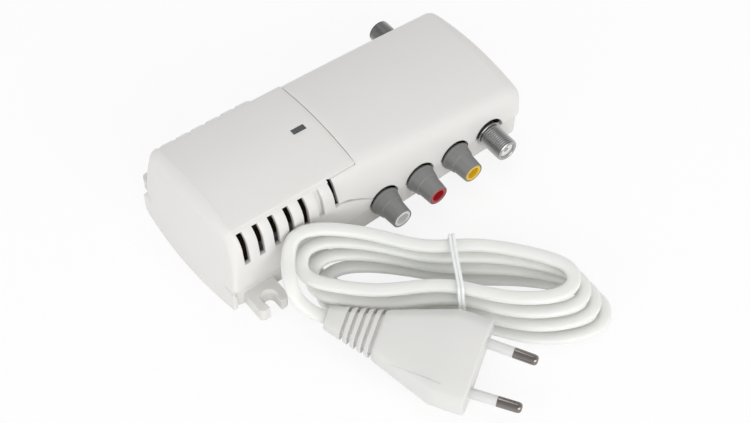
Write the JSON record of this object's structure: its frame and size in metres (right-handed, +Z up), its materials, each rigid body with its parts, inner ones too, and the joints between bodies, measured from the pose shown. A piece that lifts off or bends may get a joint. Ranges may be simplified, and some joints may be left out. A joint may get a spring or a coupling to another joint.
{
  "type": "rf modulator",
  "caption": "Radio-frequency modulator in a white moulded case, phono inputs and aerial socket in front, aerial inlet behind, with a tied flat mains lead and two-pin plug.",
  "frame": {"origin": "on the base plane, under the middle of the housing's length and width", "axes": "+X along the housing toward the low modulator end, -Y toward the side with the phono jacks, +Z up"},
  "size_m": [0.1399, 0.1687, 0.041],
  "materials": {
    "housing_white": "fine satin",
    "shell_white": "fine satin",
    "cord_white": "smooth, soft sheen",
    "tie_white": "translucent",
    "plug_white": "satin",
    "sleeve_white": "gloss",
    "pin_metal": "nickel plated",
    "jack_grey": "satin",
    "insert_white": "gloss",
    "insert_red": "gloss",
    "insert_yellow": "gloss",
    "nickel": "nickel plated",
    "insulator_white": "matt",
    "window_grey": "smoked",
    "led_red": "clear",
    "board_green": "solder resist",
    "board_brown": "paper board",
    "tinplate": "bright",
    "core_steel": "laminated",
    "winding_tape": "taped",
    "capacitor_sleeve": "sleeved",
    "fuse_glass": "clear",
    "black_epoxy": "moulded",
    "steel_zinc": "zinc plated"
  },
  "bodies": {
    "root": {"bottom_shell": "shell_white", "power_cover": "housing_white", "modulator_cover": "housing_white", "cover_screws": "steel_zinc", "led_window": "window_grey", "status_led": "led_red", "main_board": "board_green", "power_board": "board_brown", "board_link": "tinplate", "rf_can": "tinplate", "rf_can_lid": "tinplate", "transformer_core": "core_steel", "transformer_winding": "winding_tape", "filter_capacitors": "capacitor_sleeve", "mains_fuse": "fuse_glass", "rectifier_diodes": "black_epoxy", "voltage_regulator": "black_epoxy", "audio_left_jack": "jack_grey", "audio_right_jack": "jack_grey", "video_jack": "jack_grey", "audio_left_insert": "insert_white", "audio_right_insert": "insert_red", "video_insert": "insert_yellow", "phono_contacts": "nickel", "aerial_out": "nickel", "aerial_in": "nickel", "aerial_insulators": "insulator_white", "aerial_contacts": "pin_metal", "cord_relief": "cord_white", "cord_lead": "cord_white", "cord_hank": "cord_white", "cord_tail": "cord_white", "cord_tie": "tie_white", "plug_body": "plug_white", "plug_grip": "plug_white", "plug_sleeves": "sleeve_white", "plug_pins": "pin_metal"}
  },
  "joints": []
}
